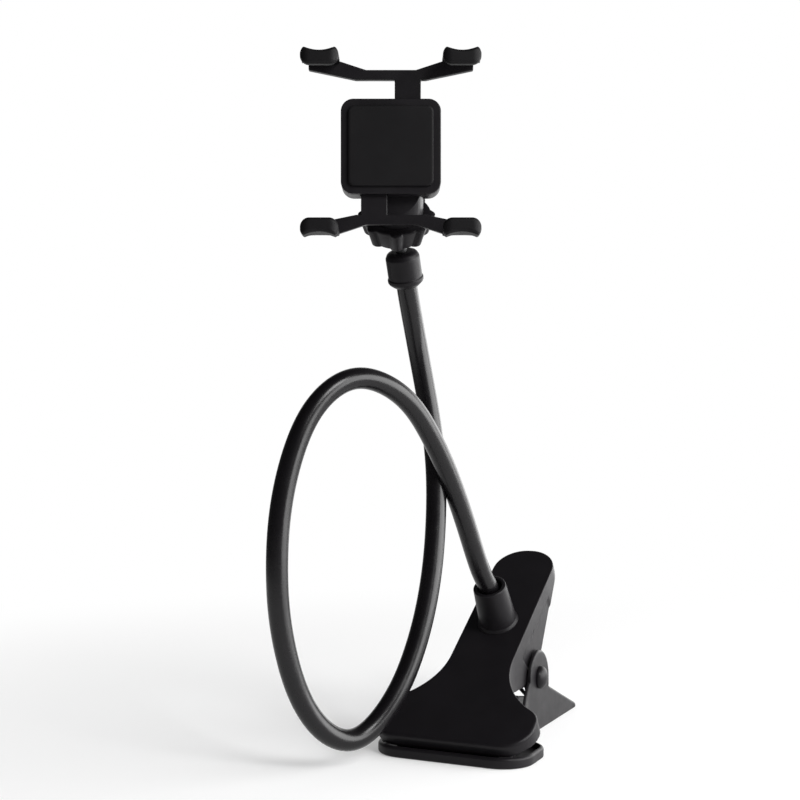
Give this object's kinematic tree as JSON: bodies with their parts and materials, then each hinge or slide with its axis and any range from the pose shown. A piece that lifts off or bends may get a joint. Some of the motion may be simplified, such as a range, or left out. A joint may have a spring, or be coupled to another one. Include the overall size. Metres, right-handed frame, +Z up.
{
  "type": "phone gooseneck holder",
  "caption": "Phone holder: a sprung cradle with rubber claws on a ball joint, carried by a long bendable arm that loops up from a spring clip used as its foot.",
  "frame": {"origin": "on the table directly below the middle of the hinge pin, in the plane of the clip's flat underside", "axes": "+Z up, the cradle faces -Y, +X to the right as the cradle is looked at"},
  "size_m": [0.1384, 0.1564, 0.288],
  "materials": {
    "black_abs": "satin moulded",
    "black_pvc": "smooth satin sleeve",
    "rubber": "soft matte",
    "steel": "turned",
    "spring_steel": "drawn wire",
    "aluminium": "drawn rod",
    "nylon": "moulded",
    "dark_nylon": "moulded"
  },
  "bodies": {
    "clip_rear": {"clip_rear_jaw": "black_abs", "hinge_pin": "steel", "pin_cap_left": "black_abs", "pin_cap_right": "black_abs", "torsion_spring": "spring_steel", "rear_jaw_pad": "rubber"},
    "front_arm": {"clip_front_jaw": "black_abs", "front_jaw_pad": "rubber", "arm_base_plug": "steel", "arm_socket_screw": "steel", "gooseneck_core": "aluminium", "gooseneck_sleeve": "black_pvc", "arm_top_cap": "black_abs", "ball_stud": "dark_nylon"},
    "liner": {"socket_liner": "nylon"},
    "ring": {"pressure_ring": "dark_nylon"},
    "cradle": {"cradle_rear_housing": "black_abs", "cradle_front_cover": "black_abs", "cradle_front_pad": "rubber", "housing_screws": "steel", "upper_spring": "spring_steel", "lower_spring": "spring_steel"},
    "nut": {"lock_nut": "black_abs"},
    "upper_grip": {"upper_slide": "black_abs", "claw_sleeve_upper_left": "rubber", "claw_sleeve_upper_right": "rubber"},
    "lower_grip": {"lower_slide": "black_abs", "claw_sleeve_lower_left": "rubber", "claw_sleeve_lower_right": "rubber"}
  },
  "joints": [
    {"name": "clip_hinge", "type": "hinge", "parent": "clip_rear", "child": "front_arm", "pos_m": [0, 0, 0.024], "axis": [-0.9063, 0.4226, 0], "range_deg": [0, 48], "stiffness_Nm_per_rad": 1, "springref_deg": -45.84, "deforming": ["torsion_spring"]},
    {"name": "ball_nod", "type": "hinge", "parent": "front_arm", "child": "liner", "pos_m": [-0.04974, -0.06411, 0.22579], "axis": [1, 0, 0], "range_deg": [-42, 4]},
    {"name": "ball_tilt", "type": "hinge", "parent": "liner", "child": "ring", "pos_m": [-0.04974, -0.06411, 0.22579], "axis": [0, 0.7071, 0.7071], "range_deg": [-20, 10]},
    {"name": "cradle_spin", "type": "hinge", "parent": "ring", "child": "cradle", "pos_m": [-0.04974, -0.06411, 0.22579], "axis": [0, -0.7071, 0.7071], "continuous": true},
    {"name": "lock_nut_turn", "type": "hinge", "parent": "cradle", "child": "nut", "pos_m": [-0.04974, -0.06411, 0.22579], "axis": [0, -0.7071, 0.7071], "range_deg": [0, 360]},
    {"name": "upper_claws_slide", "type": "slide", "parent": "cradle", "child": "upper_grip", "axis": [0, 0, 1], "range_m": [-0.0075, 0.0115], "stiffness_N_per_m": 150, "deforming": ["upper_spring"]},
    {"name": "lower_claws_slide", "type": "slide", "parent": "cradle", "child": "lower_grip", "axis": [0, 0, -1], "range_m": [-0.0075, 0.0115], "stiffness_N_per_m": 150, "deforming": ["lower_spring"]}
  ]
}
